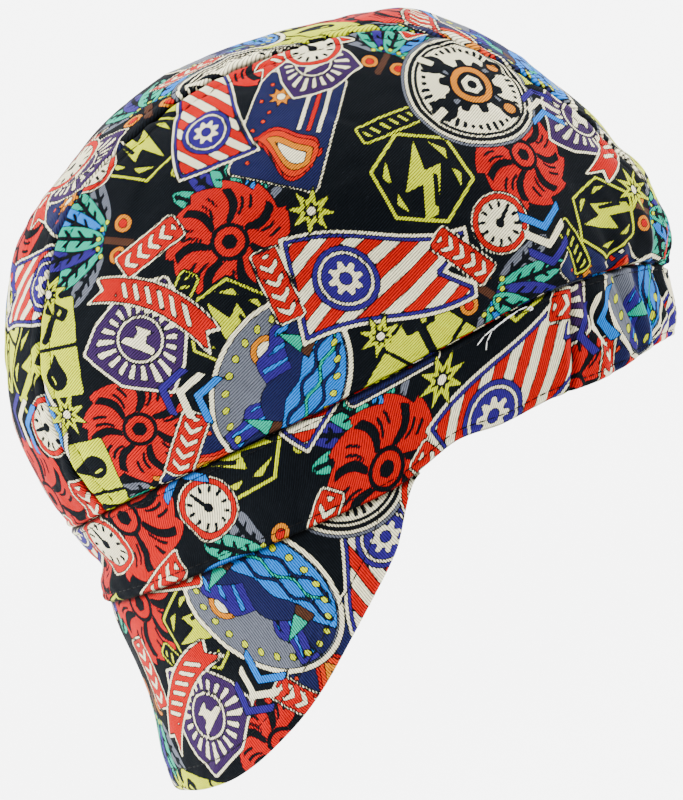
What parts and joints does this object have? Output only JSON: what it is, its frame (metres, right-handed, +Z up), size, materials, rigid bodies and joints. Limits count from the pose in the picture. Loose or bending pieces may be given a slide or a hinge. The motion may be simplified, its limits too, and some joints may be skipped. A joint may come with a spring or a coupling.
{
  "type": "welding cap",
  "caption": "Soft cotton work cap with a round panelled crown, a gathered back band and a short soft bill that hangs from the front.",
  "frame": {"origin": "centre of the rim's lower edge, where the cap sits on a head", "axes": "+Z up through the crown, -X towards the front where the bill hangs, -Y towards the wearer's left"},
  "size_m": [0.2149, 0.172, 0.2034],
  "materials": {
    "printed_twill": "matt cotton twill, screen printed"
  },
  "bodies": {
    "root": {"crown_side_left": "printed_twill", "crown_centre_strip": "printed_twill", "crown_side_right": "printed_twill", "headband": "printed_twill", "elastic_band": "printed_twill", "bill": "printed_twill"}
  },
  "joints": []
}
